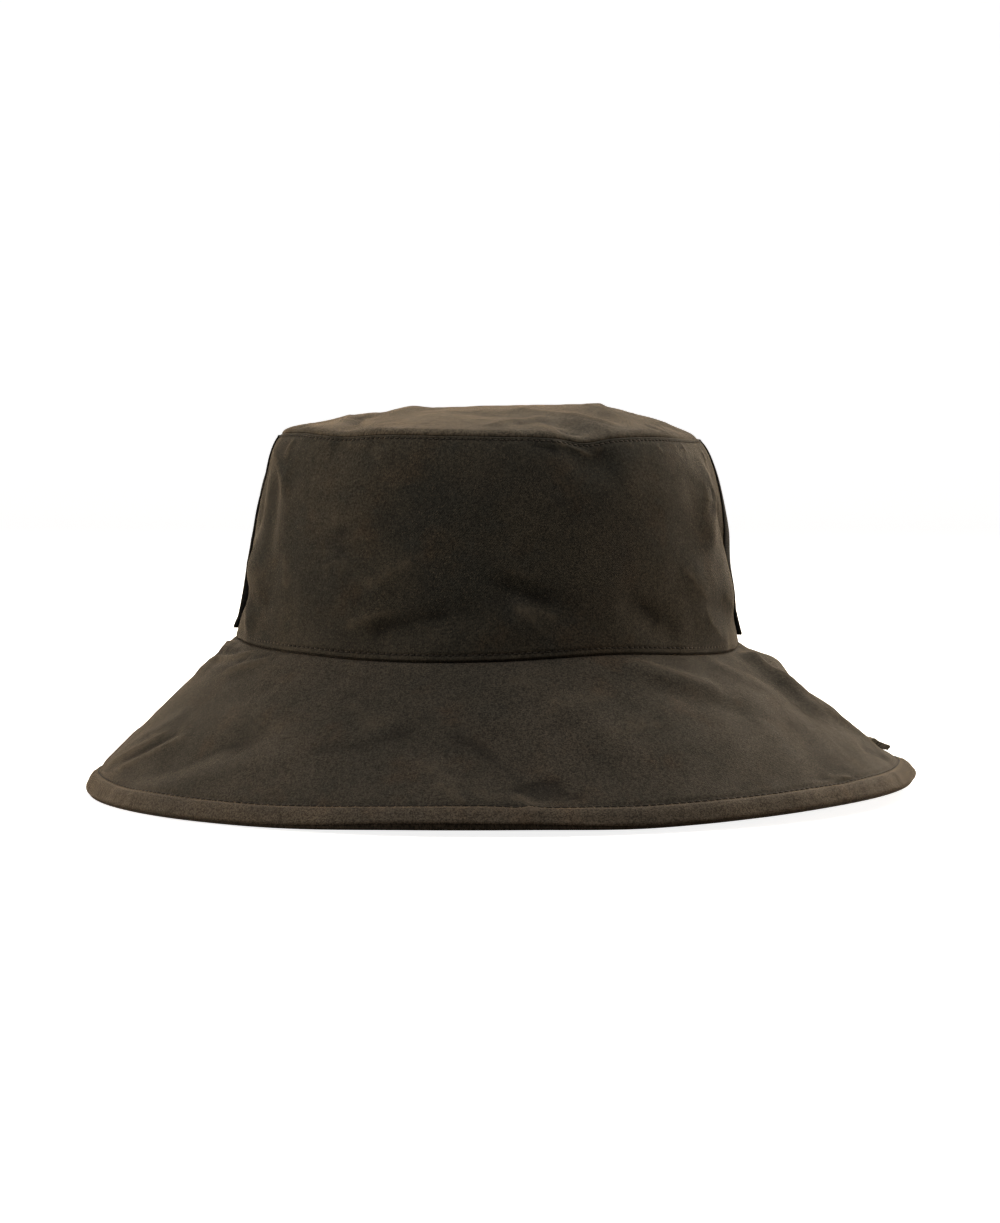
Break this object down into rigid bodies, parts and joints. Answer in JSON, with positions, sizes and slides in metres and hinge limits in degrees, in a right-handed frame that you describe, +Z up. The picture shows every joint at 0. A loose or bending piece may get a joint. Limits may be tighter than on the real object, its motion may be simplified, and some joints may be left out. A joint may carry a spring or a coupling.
{
  "type": "waxed cotton hat",
  "caption": "Soft wide-brimmed hat of dark waxed cotton with an oval creased crown, a sloping brim with a stitched hem, side tapes and a small brim tab.",
  "frame": {"origin": "middle of the hat's outline, on the surface that it lies on", "axes": "+Z up, -Y out of the hat's front, +X to the right of someone who looks at the front"},
  "size_m": [0.2972, 0.311, 0.1376],
  "materials": {
    "waxed_cotton": "waxed dark olive-brown cotton with a fine weave, soft sheen on the folds and lighter worn edges",
    "dark_tape": "matt near-black woven tape"
  },
  "bodies": {
    "root": {"crown_tip": "waxed_cotton", "crown_front": "waxed_cotton", "crown_back": "waxed_cotton", "side_tape_left": "dark_tape", "side_tape_right": "dark_tape", "brim": "waxed_cotton", "rim_hem": "waxed_cotton", "brim_tab": "waxed_cotton"}
  },
  "joints": []
}
